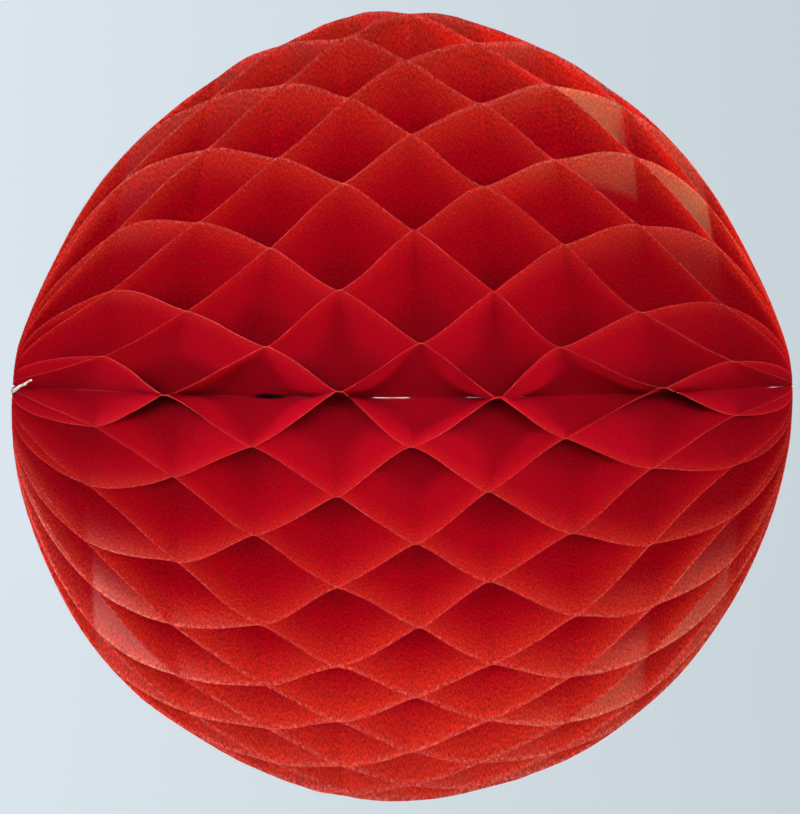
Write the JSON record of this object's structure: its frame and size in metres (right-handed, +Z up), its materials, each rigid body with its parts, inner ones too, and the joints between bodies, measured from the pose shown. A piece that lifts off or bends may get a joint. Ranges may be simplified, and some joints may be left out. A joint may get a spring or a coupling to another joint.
{
  "type": "honeycomb paper ball",
  "caption": "Round decoration of red tissue leaves bound along one spine and glued at alternating bands, so that they open into a ball of diamond cells.",
  "frame": {"origin": "centre of the ball", "axes": "+X along the spine from the left pole to the right pole, -Y towards the side the picture shows, +Z up"},
  "size_m": [0.2, 0.1996, 0.1994],
  "materials": {
    "tissue": "matte translucent tissue",
    "thread": "matte spun cotton"
  },
  "bodies": {
    "root": {"leaf_01": "tissue", "leaf_02": "tissue", "leaf_03": "tissue", "leaf_04": "tissue", "leaf_05": "tissue", "leaf_06": "tissue", "leaf_07": "tissue", "leaf_08": "tissue", "leaf_09": "tissue", "leaf_10": "tissue", "leaf_11": "tissue", "leaf_12": "tissue", "leaf_13": "tissue", "leaf_14": "tissue", "leaf_15": "tissue", "leaf_16": "tissue", "leaf_17": "tissue", "leaf_18": "tissue", "leaf_19": "tissue", "leaf_20": "tissue", "leaf_21": "tissue", "leaf_22": "tissue", "leaf_23": "tissue", "leaf_24": "tissue", "leaf_25": "tissue", "leaf_26": "tissue", "leaf_27": "tissue", "leaf_28": "tissue", "leaf_29": "tissue", "leaf_30": "tissue", "leaf_31": "tissue", "leaf_32": "tissue", "leaf_33": "tissue", "leaf_34": "tissue", "leaf_35": "tissue", "leaf_36": "tissue", "leaf_37": "tissue", "leaf_38": "tissue", "leaf_39": "tissue", "leaf_40": "tissue", "leaf_41": "tissue", "leaf_42": "tissue", "leaf_43": "tissue", "leaf_44": "tissue", "leaf_45": "tissue", "leaf_46": "tissue", "leaf_47": "tissue", "leaf_48": "tissue", "binding_thread": "thread"}
  },
  "joints": []
}
